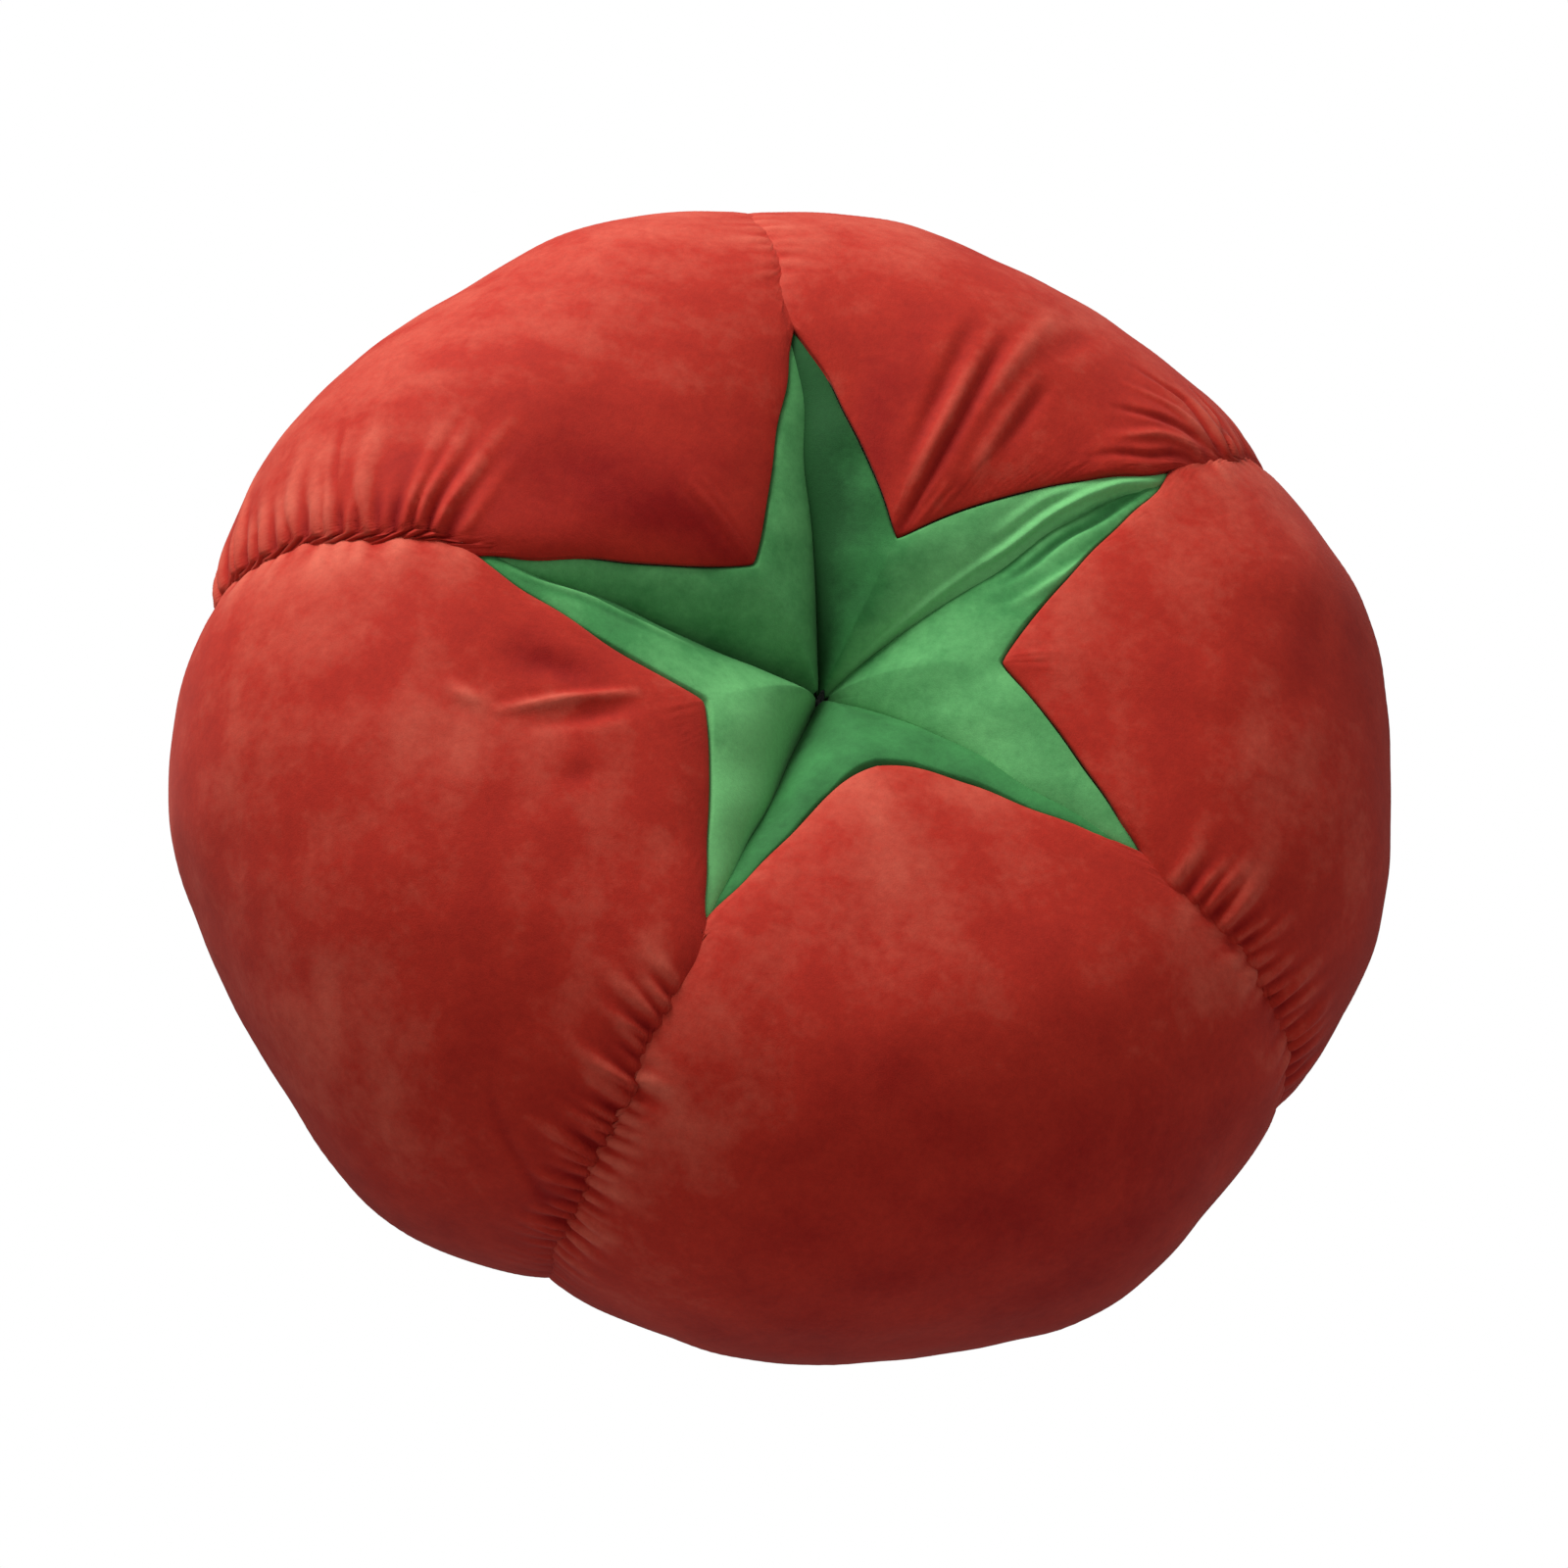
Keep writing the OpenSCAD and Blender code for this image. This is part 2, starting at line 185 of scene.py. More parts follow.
# Where the pile is made lighter or darker: partly rubbed pile, partly painted highlights on lit places and
# painted shade on slopes turned from the light. Panel, place, and how much
RUBS_AND_PAINTED_LIGHT_SIZE = (0.12, 0.22)
RUBS_AND_PAINTED_LIGHT = (
    (0, (0.41, 0.76), 0.16),
    (0, (0.09, 1.43), 0.10),
    (0, (0.20, 1.82), 0.12),
    (1, (0.30, 1.47), 0.12),
    (0, (0.75, 2.10), 0.06),
    (0, (0.93, 1.35), 0.05),
    (0, (0.95, 1.75), 0.05),
    (1, (0.45, 1.90), 0.04),
    (2, (0.25, 1.25), -0.08),
    (2, (0.74, 0.81), -0.20),
    (3, (0.71, 0.90), -0.22),
    (3, (0.61, 0.72), -0.15),
    (3, (0.90, 1.20), -0.12),
    (4, (0.28, 0.86), -0.14),
    (4, (0.38, 1.10), 0.15),
    (4, (0.64, 1.75), 0.12),
    (4, (0.84, 1.85), 0.10),
)
# How the pile lies on each leaf, together with painted light and shade: lightness beside its first seam and
# beside its second
LEAF_PILE_AND_PAINTED_LIGHT = ((0.38, 0.44), (0.72, 0.54), (0.96, 0.08), (0.62, 0.62), (0.46, 1.0))
# How much the star's inner corners are rounded
CORNER_SOFT = (9, 3, 3, 3, 3)
# How far the star's edges bow outwards on each gore: by its first seam, at the corner, by its second seam
EDGE_BOW = ((-9, -4, -11), (1, -1.5, -6), (8, -1, 4.5), (-2, 0, -3.5), (5, -1, -3))


def lerp(a, b, k):
    return a + (b - a) * k


def bell(x):
    return np.exp(-(x**2))


def curve(n, deg):
    return np.abs(np.sin(np.radians(deg))) ** (2 / n)


def sector_deg(i):
    following = SEAM_AZ[i + 1] if i < SECTORS - 1 else SEAM_AZ[0] + 360
    return following - SEAM_AZ[i]


def share(f):
    """0 on a seam, 1 on the middle of a lobe."""
    return 1 - np.abs(2 * f - 1)


def fullness(f):
    return np.clip(1 - (1 - share(f)) ** LOBE_N, 0, 1) ** (1 / LOBE_N)


def waist_r(i, f):
    flat = CREST_FLAT * np.sin(np.radians(90 * share(f))) ** 4
    return BODY_R * (1 - SEAM_PINCH * (1 - fullness(f)) - flat + LOBE_TRIM[i] * fullness(f))


def crown_n(i, f):
    return lerp(lerp(SEAM_N[i], SEAM_N[(i + 1) % SECTORS], f), CREST_N, fullness(f))


def profile(i, f, t):
    """Radius and height of the cover. t is 0 at the pit, 1 on the ridge, 2 at the waist, 3 at the base."""
    t1, t2, t3 = np.clip(t, 0, 1), np.clip(t - 1, 0, 1), np.clip(t - 2, 0, 1)
    ridge_h = BODY_H - SEAM_SINK * (1 - fullness(f))
    waist = waist_r(i, f)
    over = lerp(RIDGE_R, waist, curve(SHOULDER_N, 90 * t2))
    under = lerp(BASE_R, waist, curve(UNDER_N, 90 * (1 - t3)))
    r = np.where(t <= 1, RIDGE_R * (1 - curve(crown_n(i, f), 90 * (1 - t1))), np.where(t <= 2, over, under))
    over = lerp(WAIST_H, ridge_h, curve(SHOULDER_N, 90 * (1 - t2)))
    under = WAIST_H * (1 - curve(UNDER_N, 90 * t3))
    z = np.where(t <= 1, lerp(PIT_H, ridge_h, curve(crown_n(i, f), 90 * t1)), np.where(t <= 2, over, under))
    return r, z


def t_at(i, f, r):
    """The t at which the profile has radius r, above the waist."""
    inner = 1 - np.degrees(np.arcsin(np.clip(1 - r / RIDGE_R, 0, 1) ** (crown_n(i, f) / 2))) / 90
    out = np.clip((r - RIDGE_R) / (waist_r(i, f) - RIDGE_R), 0, 1)
    outer = 1 + np.degrees(np.arcsin(out ** (SHOULDER_N / 2))) / 90
    return np.where(r < RIDGE_R, inner, outer)


def sunk(r, z, depth):
    """A profile point moved towards the middle of the stuffed ring."""
    dr, dz = CORE[0] - r, CORE[1] - z
    length = np.hypot(dr, dz)
    return r + dr * depth / length, z + dz * depth / length


def wander(seam, r, z):
    """Sideways distance by which a seam strays from its plane."""
    s = r - z
    return 0.8 * np.sin(s / 9 + 2.1 * seam) + 0.45 * np.sin(s / 4.3 + 1.3 * seam)


def place(i, f, r, z):
    a = np.radians(SEAM_AZ[i] + f * sector_deg(i))
    stray = wander(i, r, z) * bell(f / STRAY_F) + wander((i + 1) % SECTORS, r, z) * bell((1 - f) / STRAY_F)
    a = a + stray * np.minimum(1, r / 60) / np.maximum(r, 60)
    return np.stack([r * np.cos(a), r * np.sin(a), z + 0 * a], axis=-1)


def groove(i, f, t):
    r, _ = profile(i, f, t)
    w = r * np.sin(np.radians(share(f) * sector_deg(i) / 2))
    return GROOVE_DEPTH * np.exp(-w / GROOVE_W) * np.minimum(np.minimum(1, t), 2 * (3 - t))


def cover(i, f, t, depth=0):
    r, z = profile(i, f, t)
    return place(i, f, *sunk(r, z, depth + groove(i, f, t)))


def star_r(i, f):
    """Radius of the star's edge: a straight line in plan from each tip, with a softly turned inner corner."""
    half = math.radians(sector_deg(i) / 2)
    a = f * 2 * half
    soft = CORNER_SOFT[i]
    rn = NOTCH_R * NOTCH_TRIM[i] - soft / 2
    sides = []
    for tip, angle in ((i, a), ((i + 1) % SECTORS, 2 * half - a)):
        rt = TIP_R * TIP_TRIM[tip]
        below = rt * np.sin(angle) + rn * np.sin(half - angle)
        sides.append(rt * rn * math.sin(half) / np.maximum(below, 0.05 * rt))
    straight = (sides[0] + sides[1] + np.sqrt((sides[0] - sides[1]) ** 2 + soft**2)) / 2
    first, corner, second = EDGE_BOW[i]
    bow = 3.1 * share(f) ** 0.5 * (1 - share(f)) ** 1.5
    return straight + np.where(f < 0.5, first, second) * bow + corner * share(f) ** 2


# ---- Grids of points over one panel ----
# Columns from a seam to the middle of a lobe, and how much closer together they are beside the seam
HALF_COLS = 76
SPREAD = 1.7
EDGE_W = (SEAM_GAP / 2, 1.1, PANEL_T, PANEL_T + 1)
ALLOWANCE_COLS = 3
GORE_ROWS = 340
LEAF_ROWS = 60
LEAF_FROM_R = 2.2
# Distances from the star's edge of the rows beside it. A leaf runs on under the gore.
GORE_EDGE = (0.2, 0.5, 1.0, 1.7, 2.6, 3.8)
LEAF_EDGE = (-3.6, -2.4, -1.5, -0.8, -0.3, 0.3, 1.2, 3.0)


def column_shares(i, t):
    """f of every column at each t: dense by the seams, wide in the middle."""
    r = np.minimum(profile(i, 0.0, t)[0], profile(i, 1.0, t)[0])
    half_arc = r * math.radians(sector_deg(i) / 2)
    taper = np.minimum(1, r / TAPER_R)
    edges = [w * taper for w in EDGE_W]
    steps = np.sinh(SPREAD * np.arange(1, HALF_COLS + 1) / HALF_COLS) / math.sinh(SPREAD)
    columns = edges + [lerp(edges[-1], half_arc, k) for k in steps]
    half = np.stack(columns, axis=-1) / (2 * half_arc)[..., None]
    return np.concatenate([half, 1 - half[..., -2::-1]], axis=-1)


def panel_params(i, is_leaf):
    """f and t of every vertex of a panel."""
    f0 = column_shares(i, np.array(1.0))
    edge = star_r(i, f0)
    near = [t_at(i, f0, edge + d) for d in (LEAF_EDGE if is_leaf else GORE_EDGE)]
    if is_leaf:
        start = t_at(i, f0, LEAF_FROM_R)
        rows = [lerp(start, near[0], k) for k in np.arange(LEAF_ROWS) / LEAF_ROWS] + near
    else:
        rows = near + [lerp(near[-1], 3, k) for k in (np.arange(1, GORE_ROWS + 1) / GORE_ROWS) ** 1.25]
    t = np.stack(rows)
    columns = np.arange(t.shape[1])[None, :, None]
    f = np.take_along_axis(column_shares(i, t), columns, axis=2)[..., 0]
    return f, t


def grid_normals(p, outward_from):
    """Unit normals of a grid of points, pointing away from a point."""
    n = np.cross(np.gradient(p, axis=1), np.gradient(p, axis=0))
    n /= np.maximum(np.linalg.norm(n, axis=-1, keepdims=True), 1e-9)
    side = np.sign(((p - outward_from) * n).sum(-1, keepdims=True).mean())
    return n * side


def seam_length(i, t):
    """Distance along a seam from the pit, downwards."""
    ts = np.linspace(0, 3, 601)
    r, z = profile(i, 0.0, ts)
    total = np.concatenate([[0], np.cumsum(np.hypot(np.diff(r), np.diff(z)))])
    return np.interp(t, ts, total)


def across(i, f, t, side):
    """Distance from one of a panel's two seams."""
    r, _ = profile(i, f, t)
    return (f if side == 0 else 1 - f) * r * math.radians(sector_deg(i))


def smooth_step(x):
    x = np.clip(x, 0, 1)
    return x**2 * (3 - 2 * x)


def gathers(i, f, t, seam, side, rng):
    """Height of the puckers beside one seam of gore i: round ridges with sharp valleys between them."""
    height, reach, gap, start, end, slant = GATHERS[seam][side]
    w = across(i, f, t, side)
    s = seam_length(i, t)
    tip = float(seam_length(i, t_at(i, 0.0, np.array(TIP_R * TIP_TRIM[seam]))))
    last = float(seam_length(i, np.array(GATHERS_END_T)))
    total = np.zeros_like(w)
    at = tip + start
    while at < last:
        pitch = gap * rng.uniform(0.75, 1.3)
        long = reach * rng.uniform(0.55, 1.35)
        lean = slant + rng.uniform(-0.1, 0.1) - (TIP_LEAN + slant) * math.exp(-(at - tip) / TIP_LEAN_REACH)
        fade = min(1, (at - tip - start) / FADE_IN + 0.35)
        fade *= lerp(1, FADED, smooth_step((at - tip - end) / FADE_OUT))
        tall = fade * height * rng.uniform(0.6, 1.1)
        line = at + lean * w + 0.8 * np.sin(w / 7 + rng.uniform(0, 6.3))
        wide = RIDGE_SHARE * pitch * (1 + 0.3 * w / reach)
        stroke = tall * np.exp(-((w / long) ** 2)) * np.exp(-0.5 * ((s - line) / wide) ** 2)
        total += stroke**RIDGE_SHARPNESS
        at += pitch
    rise = 1 - np.exp(-((w / 2) ** 2))
    along = smooth_step((s - tip - start + 4) / 10) * lerp(1, FADED, smooth_step((s - tip - end) / FADE_OUT))
    valleys = VALLEY_SHARE * height * along * np.exp(-((w / (0.75 * reach)) ** 2))
    return rise * (total ** (1 / RIDGE_SHARPNESS) - valleys)


def bridge(i, f, t):
    """How far the cloth of gore i stands out of the valleys at its two seams."""
    total = 0
    for side, seam in enumerate((i, (i + 1) % SECTORS)):
        beside = bell(across(i, f, t, side) / VALLEY_W)
        total = total + VALLEY_FILL[seam] * beside * smooth_step((t - 1) / 0.4)
    return total


def lumps(p, size, rng, count=7):
    """Smooth unevenness of the given feature size, from about -1 to 1."""
    total = np.zeros(p.shape[:-1])
    for _ in range(count):
        direction = rng.normal(size=3)
        direction /= np.linalg.norm(direction)
        total += np.sin(p @ direction * (2 * math.pi / (size * rng.uniform(0.7, 1.5))) + rng.uniform(0, 6.3))
    return total / math.sqrt(count)


def blobs(table, i, f, t, size):
    """Soft round marks on gore i, from a table of places and amounts."""
    total = 0
    for panel, (f0, t0), amount in table:
        if panel == i:
            total = total + amount * bell((f - f0) / size[0]) * bell((t - t0) / size[1])
    return total


def distance_to(p, path):
    """Distance of points from a path, and how far along the path the nearest place is, from 0 to 1."""
    nearest = np.full(p.shape[:-1], np.inf)
    along = np.zeros(p.shape[:-1])
    for k, (start, step) in enumerate(zip(path, np.diff(path, axis=0))):
        at = np.clip((p - start) @ step / (step @ step), 0, 1)
        gap = np.linalg.norm(p - start - at[..., None] * step, axis=-1)
        along = np.where(gap < nearest, (k + at) / (len(path) - 1), along)
        nearest = np.minimum(nearest, gap)
    return nearest, along


def creases(kind, i, p):
    """Long soft creases, each a valley with raised shoulders, or a ridge, along a path over the panel."""
    h = np.zeros(p.shape[:-1])
    for kind_of, panel_of, places, wide, deep in CREASES:
        if (kind_of, panel_of) != (kind, i):
            continue
        k = np.linspace(0, len(places) - 1, 17)
        path = cover(i, *(np.interp(k, range(len(places)), axis) for axis in zip(*places)))
        d, along = distance_to(p, path)
        fade = np.sin(math.pi * np.clip(along, 0.04, 0.96)) ** 0.6
        h += deep * fade * (SHOULDER_SHARE * bell(d / (SHOULDER_REACH * wide)) - bell(d / wide))
    return h


def star_edge(i, f, t, is_leaf):
    """The gore stands up beside the star and turns down at its edge, and the leaf runs on under it."""
    r, _ = profile(i, f, t)
    d = r - star_r(i, f)
    if not is_leaf:
        d = np.maximum(d, 0)
        stands, turns_down = 1.8, 1.7
        return stands * (1 - np.exp(-d / 5)) * np.exp(-d / 30) - turns_down * np.exp(-((d / 1.2) ** 1.5))
    dips, runs_under = 1.3, 3.4
    under = np.clip((d + 0.8) / 1.6, 0, 1)
    return -dips * np.exp(np.minimum(d, 0) / 5) - runs_under * under**2 * (3 - 2 * under)


def roll_over(i, f, t, seam, side):
    """How far the cloth beside a seam is pushed towards it, which makes a rolled edge."""
    w = across(i, f, t, side)
    return ROLLS[seam][side] * bell((w - 3) / 2.6) * np.minimum(1, w)


# ---- Meshes ----
def mesh_object(name, verts, faces, pile_and_painted_light=None):
    """A smooth mesh from points in millimetres, with the pile's tone and its painted light and shade kept on
    its points.
    """
    mesh = bpy.data.meshes.new(name)
    mesh.from_pydata((verts * MM).tolist(), [], faces if isinstance(faces, list) else faces.tolist())
    mesh.polygons.foreach_set("use_smooth", [True] * len(mesh.polygons))
    if pile_and_painted_light is not None:
        # The attribute carries the pile's tone together with painted light and shade
        mesh.attributes.new("pile_and_painted_light", "FLOAT", "POINT").data.foreach_set("value", pile_and_painted_light)
    mesh.update()
    piece = bpy.data.objects.new(name, mesh)
    bpy.context.scene.collection.objects.link(piece)
    return piece


def quads(index):
    """Faces between the neighbouring rows and columns of a grid of vertex numbers."""
    corners = index[:-1, :-1], index[1:, :-1], index[1:, 1:], index[:-1, 1:]
    return np.stack(corners, -1).reshape(-1, 4)


def closed_sheet(name, outer, inner, pile_and_painted_light=None, is_ring=False):
    """A closed mesh between an outer and an inner grid of points. A ring has no side edges."""
    rows, cols = outer.shape[:2]
    below = rows * cols
    index = np.arange(below).reshape(rows, cols)
    if is_ring:
        index = np.concatenate([index, index[:, :1]], axis=1)
    faces = [quads(index), quads(index)[:, ::-1] + below]
    rims = [(index[0], False), (index[-1], True)]
    if not is_ring:
        rims += [(index[:, 0], True), (index[:, -1], False)]
    for rim, flip in rims:
        wall = np.stack([rim[:-1], rim[1:], rim[1:] + below, rim[:-1] + below], -1)
        faces.append(wall[:, ::-1] if flip else wall)
    verts = np.concatenate([outer.reshape(-1, 3), inner.reshape(-1, 3)])
    both = None if pile_and_painted_light is None else np.tile(pile_and_painted_light.ravel(), 2)
    return mesh_object(name, verts, np.concatenate(faces), both)


# ---- Cloth ----
# The cloth is simulated with this many units to a millimetre
CLOTH_UNIT = 0.1
CLOTH_FRAMES = 16
# How far the stuffing can move the cloth at most, and how much larger the cut is than the shape
CLOTH_REACH = 1.7
CLOTH_EASE = 1.006
# Rows or columns of points that are sewn down along each edge
SEWN = 3


def held_points(index):
    """The points of a panel's grid that are sewn down: its two seams, the star's edge and the base seam."""
    edges = index[:, :SEWN], index[:, -SEWN:], index[:SEWN], index[-SEWN:]
    return np.unique(np.concatenate([edge.ravel() for edge in edges]))


def cloth_piece(name, p):
    """A panel's outer face as a cloth object that the stuffing presses outwards."""
    rows, cols = p.shape[:2]
    index = np.arange(rows * cols).reshape(rows, cols)
    piece = mesh_object(name, p.reshape(-1, 3) * CLOTH_UNIT / MM, quads(index))
    piece.shape_key_add(name="Basis")
    cut = piece.shape_key_add(name="cut")
    cut.data.foreach_set("co", (p * CLOTH_UNIT * CLOTH_EASE).ravel())
    cut.value = 0
    piece.vertex_groups.new(name="sewn").add(held_points(index).tolist(), 1, "REPLACE")
    modifier = piece.modifiers.new("cloth", "CLOTH")
    modifier.collision_settings.use_collision = False
    cloth = modifier.settings
    cloth.quality = 3
    cloth.mass = 0.003
    cloth.air_damping = 1
    cloth.tension_stiffness = 15
    cloth.compression_stiffness = 15
    cloth.shear_stiffness = 5
    cloth.bending_stiffness = 0.05
    cloth.use_pressure = True
    cloth.uniform_pressure_force = 0.25
    cloth.effector_weights.gravity = 0
    cloth.vertex_group_mass = "sewn"
    cloth.rest_shape_key = cut
    return piece


def stuffed(panels):
    """The panels' outer faces after the cloth has settled over the stuffing."""
    pieces = [cloth_piece(f"cloth_{i}", p) for i, p in enumerate(panels)]
    for step in range(1, CLOTH_FRAMES + 1):
        bpy.context.scene.frame_set(step)
    graph = bpy.context.evaluated_depsgraph_get()
    settled = []
    for piece, p in zip(pieces, panels):
        points = np.empty(p.size)
        piece.evaluated_get(graph).data.vertices.foreach_get("co", points)
        move = points.reshape(p.shape) / CLOTH_UNIT - p
        far = np.linalg.norm(move, axis=-1, keepdims=True)
        settled.append(p + move * CLOTH_REACH / (CLOTH_REACH + far))
    bpy.context.scene.frame_set(1)
    for piece in pieces:
        bpy.data.objects.remove(piece)
    return settled


# ---- Panels ----
MIDDLE = np.array([0, 0, 0.4 * BODY_H])
# Painted light: the direction of the key light, the pile's plain tone, and how much lighter the pile is
# painted where its surface faces that light
PAINTED_LIGHT_DIR = np.array([-0.76, 0.6, 0.25])
PLAIN_TONE, PAINTED_LIGHT_TONE = 0.47, 0.14
# Painted highlights and shade: how much lighter the pile is made on the ridges of the gathers and creases,
# and darker in their valleys, for each millimetre of height
GATHER_PAINTED_SHADE, CREASE_PAINTED_SHADE, LEAF_CREASE_PAINTED_SHADE = 0.19, 0.12, 0.18


def panel_shape(i, is_leaf):
    """Outer face of a panel with its gathers, creases and rolled edges, and its pile's tone with painted
    light and shade.
    """
    f, t = panel_params(i, is_leaf)
    p = cover(i, f, t)
    n = grid_normals(p, MIDDLE)
    rng = np.random.default_rng(40 + i)
    edge = star_edge(i, f, t, is_leaf)
    away = np.minimum(1, 3 * share(f))
    folds = creases("leaf" if is_leaf else "gore", i, p)
    if is_leaf:
        h = 0.6 * groove(i, f, t) + 0.5 * away * lumps(p, 24, rng) + folds
        # Partly how the pile lies on the leaf, partly painted light and shade
        tone = lerp(LEAF_PILE_AND_PAINTED_LIGHT[i][0], LEAF_PILE_AND_PAINTED_LIGHT[i][1], f) + 0.04 * lumps(p, 26, rng)
        # Painted highlights on the leaf's crease ridges, painted shade in its crease valleys
        tone += LEAF_CREASE_PAINTED_SHADE * folds
        return p + (h + edge)[..., None] * n, tone, f, t
    puckers = gathers(i, f, t, i, 0, rng) + gathers(i, f, t, (i + 1) % SECTORS, 1, rng)
    h = away * (0.6 * lumps(p, 80, rng) + 0.2 * lumps(p, 26, rng) + blobs(SWELLS, i, f, t, SWELL_SIZE))
    h += puckers + folds + GROOVE_FILL * groove(i, f, t) + bridge(i, f, t) - CLOTH_SLACK * away
    h *= np.minimum(1, (3 - t) * 6)
    # Painted light: the pile is made lighter where the surface faces the key light and darker where it faces
    # away
    tone = PLAIN_TONE + PAINTED_LIGHT_TONE * n @ PAINTED_LIGHT_DIR + 0.035 * lumps(p, 60, rng) + 0.03 * lumps(p, 22, rng)
    # Painted highlights on the ridges of the gathers and creases, painted shade in their valleys
    tone += GATHER_PAINTED_SHADE * np.minimum(puckers, 0.8) + CREASE_PAINTED_SHADE * np.minimum(folds, 1)
    # Rubbed pile together with painted highlights and painted shade, from the table of places
    tone += blobs(RUBS_AND_PAINTED_LIGHT, i, f, t, RUBS_AND_PAINTED_LIGHT_SIZE)
    towards = np.gradient(p, axis=1)
    towards /= np.maximum(np.linalg.norm(towards, axis=-1, keepdims=True), 1e-9)
    shift = roll_over(i, f, t, (i + 1) % SECTORS, 1) - roll_over(i, f, t, i, 0)
    return p + (h + edge)[..., None] * n + shift[..., None] * towards, tone, f, t


def panel_piece(name, outer, pile_and_painted_light, i, f, t):
    """A closed velvet panel with the allowances turned in beside its seams."""
    outer[..., 2] = np.maximum(outer[..., 2], 0)
    r, z = profile(i, f, t)
    seam_r, _ = profile(i, 0.0, t)
    deep = np.minimum(ALLOWANCE, PANEL_T + 0.3 * seam_r)
    depth = np.full(t.shape, float(PANEL_T))
    depth[:, :ALLOWANCE_COLS] = deep[:, :ALLOWANCE_COLS]
    depth[:, -ALLOWANCE_COLS:] = deep[:, -ALLOWANCE_COLS:]
    inward = place(i, f, *sunk(r, z, 1.0)) - place(i, f, r, z)
    return closed_sheet(name, outer, outer + inward * depth[..., None], pile_and_painted_light)


# ---- Base panel, filling and twine ----
FILL_DEPTH = 5.0
FILL_ROWS = 110
TRENCH_W = 6.5
BASE_FOLDS = 17


def base_velvet():
    """The round base panel: flat where it stands, pulled up into folds round the button."""
    hole_r, bevel = 5, 1
    radii, turns = lerp(hole_r, BASE_RIM_R, np.linspace(0, 1, 72)), np.radians(np.arange(0, 360, 1.2))
    r, a = np.meshgrid(radii, turns, indexing="ij")
    low = TUFT_H * (1 - smooth_step((r - DISH_R) / SLOPE_W))
    rng = np.random.default_rng(7)
    fan = sum(np.cos(k * a + rng.uniform(0, 6.3)) for k in (BASE_FOLDS, BASE_FOLDS - 3, BASE_FOLDS + 5)) / 3
    low += 1.5 * (0.5 + fan) * bell((r - DISH_R - 8) / 11)
    low = np.maximum(low, 0) + bevel * np.clip((r - BASE_RIM_R) / bevel + 1, 0, 1)
    under = np.stack([r * np.cos(a), r * np.sin(a), low], -1)
    # Lighter on the folds' crests and darker between them: painted highlights and shade
    pile_and_painted_light = 0.45 + 0.06 * lumps(under, 50, rng) + 0.04 * fan * bell((r - DISH_R - 8) / 14)
    return closed_sheet("base_velvet", under + (0, 0, PANEL_T), under, pile_and_painted_light, is_ring=True)


def filling():
    """The fibre filling, hollow where the seam allowances, the elastics and the twine run."""
    rng = np.random.default_rng(11)
    t = np.linspace(0.14, 2.97, FILL_ROWS)
    floor_h = PANEL_T + 1
    well_r, well_h, bore_r = 8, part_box("tuft_twine")[0].z / MM + 15, TWINE_D / 2 + 1.5
    corners = [
        (DISH_R + SLOPE_W + 1, floor_h),
        (DISH_R + 1, TUFT_H + floor_h + 1),
        (well_r, TUFT_H + floor_h + 1),
        (well_r, well_h),
        (bore_r, well_h + 3),
        (bore_r, PIT_H - 18),
    ]
    steps = np.linspace(0, len(corners) - 1, 6 * len(corners))
    inside = [np.interp(steps, range(len(corners)), axis) for axis in np.array(corners).T]
    lobes = []
    for i in range(SECTORS):
        f = column_shares(i, t)[:, :-1]
        t_grid = np.broadcast_to(t[:, None], f.shape)
        r, z = profile(i, f, t_grid)
        w = np.minimum(across(i, f, t_grid, 0), across(i, f, t_grid, 1))
        trench = np.minimum(ALLOWANCE, PANEL_T + 0.3 * r) + 1.5 - FILL_DEPTH
        depth = FILL_DEPTH + np.maximum(trench, 0) * (1 - smooth_step(w / TRENCH_W - 0.6))
        depth += 3.5 * bell((r - star_r(i, f)) / 5)
        p = place(i, f, *sunk(r, z, depth + groove(i, f, t_grid)))
        tufts = 0.9 * np.abs(lumps(p, 13, rng)) + 0.6 * np.abs(lumps(p, 6, rng))
        p -= tufts[..., None] * grid_normals(p, MIDDLE)
        columns = np.tile(f[0], (len(steps), 1))
        lobes.append(np.concatenate([p, place(i, columns, inside[0][:, None], inside[1][:, None])]))
    grid = np.concatenate(lobes, axis=1)
    index = np.arange(grid.shape[0] * grid.shape[1]).reshape(grid.shape[:2])
    index = np.concatenate([index, index[:1]], axis=0)
    index = np.concatenate([index, index[:, :1]], axis=1)
    return mesh_object("fibre_wadding", grid.reshape(-1, 3), quads(index))


def tube(path, radius, sides=10, is_loop=False):
    """Points and faces of a round tube along a path, with flat ends or joined into a loop."""
    ahead = np.roll(path, -1, axis=0) - np.roll(path, 1, axis=0) if is_loop else np.gradient(path, axis=0)
    ahead /= np.linalg.norm(ahead, axis=1, keepdims=True)
    side = np.cross(ahead, (0.31, 0.2, 0.93) if is_loop else (0.93, 0.31, 0.2))
    side /= np.linalg.norm(side, axis=1, keepdims=True)
    other = np.cross(ahead, side)
    a = np.arange(sides) * 2 * math.pi / sides
    ring = np.cos(a)[:, None] * side[:, None] + np.sin(a)[:, None] * other[:, None]
    points = path[:, None] + radius * ring
    index = np.arange(len(path) * sides).reshape(len(path), sides)
    rows = np.concatenate([index, index[:1]]) if is_loop else index
    faces = quads(np.concatenate([rows, rows[:, :1]], axis=1))[:, ::-1].tolist()
    if not is_loop:
        faces += [index[0].tolist(), index[-1, ::-1].tolist()]
    return points.reshape(-1, 3), faces


def joined(name, parts):
    """One mesh from several closed tubes."""
    verts, faces = [], []
    for points, part_faces in parts:
        start = sum(len(v) for v in verts)
        verts.append(points)
        faces += [[v + start for v in face] for face in part_faces]
    return mesh_object(name, np.concatenate(verts), faces)


